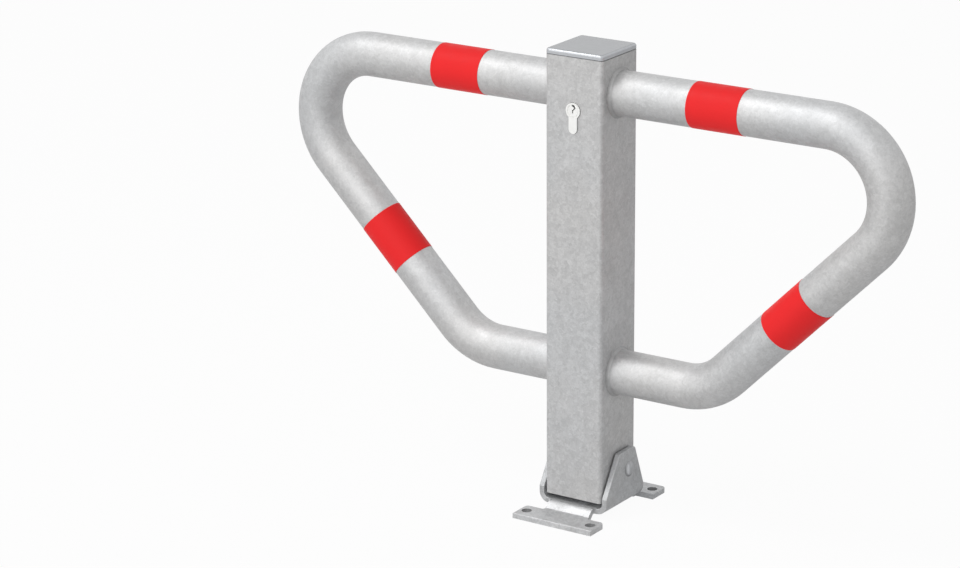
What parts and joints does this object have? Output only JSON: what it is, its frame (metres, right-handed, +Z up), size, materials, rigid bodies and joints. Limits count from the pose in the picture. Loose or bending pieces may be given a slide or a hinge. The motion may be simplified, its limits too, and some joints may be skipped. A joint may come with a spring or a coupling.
{
  "type": "folding parking barrier",
  "caption": "Folding parking barrier: square post with a bent tube hoop on each side, tips backward in a folded base bracket and is held upright by a rod worked by a cylinder lock.",
  "frame": {"origin": "on the ground, at the centre of the four foot holes", "axes": "+X along the hoops, +Y to the back, the side the post folds to, +Z up; the lock faces -Y"},
  "size_m": [0.75, 0.156, 0.51],
  "materials": {
    "galvanised_steel": "hot-dip galvanised, matt with a fine mottle",
    "red_film": "satin reflective film",
    "nickel_brass": "satin nickel plated",
    "bright_steel": "zinc plated"
  },
  "bodies": {
    "base": {"base_bracket": "galvanised_steel", "pivot_pin": "galvanised_steel"},
    "post": {"post_tube": "galvanised_steel", "post_cap": "galvanised_steel", "left_hoop": "galvanised_steel", "right_hoop": "galvanised_steel", "band_upper_left": "red_film", "band_upper_right": "red_film", "band_lower_left": "red_film", "band_lower_right": "red_film", "pivot_sleeve": "galvanised_steel", "guide_plate": "galvanised_steel", "rod_bush": "bright_steel", "lock_carrier": "galvanised_steel", "lock_cylinder": "nickel_brass", "fixing_screw": "bright_steel"},
    "bolt": {"locking_rod": "bright_steel", "driver_plate": "bright_steel", "driver_rivet": "bright_steel"},
    "plug": {"cylinder_plug": "nickel_brass", "lock_cam": "bright_steel", "cam_clip": "bright_steel"}
  },
  "joints": [
    {"name": "post_fold", "type": "hinge", "parent": "base", "child": "post", "pos_m": [0, 0.0115, 0.047], "axis": [-1, 0, 0], "range_deg": [0, 92]},
    {"name": "bolt_slide", "type": "slide", "parent": "post", "child": "bolt", "axis": [0, 0, 1], "range_m": [-0.012, 0]},
    {"name": "plug_turn", "type": "hinge", "parent": "post", "child": "plug", "pos_m": [0, -0.0065, 0.4475], "axis": [0, -1, 0], "range_deg": [-60, 0]}
  ],
  "couplings": [
    {"joint": "plug_turn", "follows": "bolt_slide", "rad_per_m": 87.266}
  ]
}
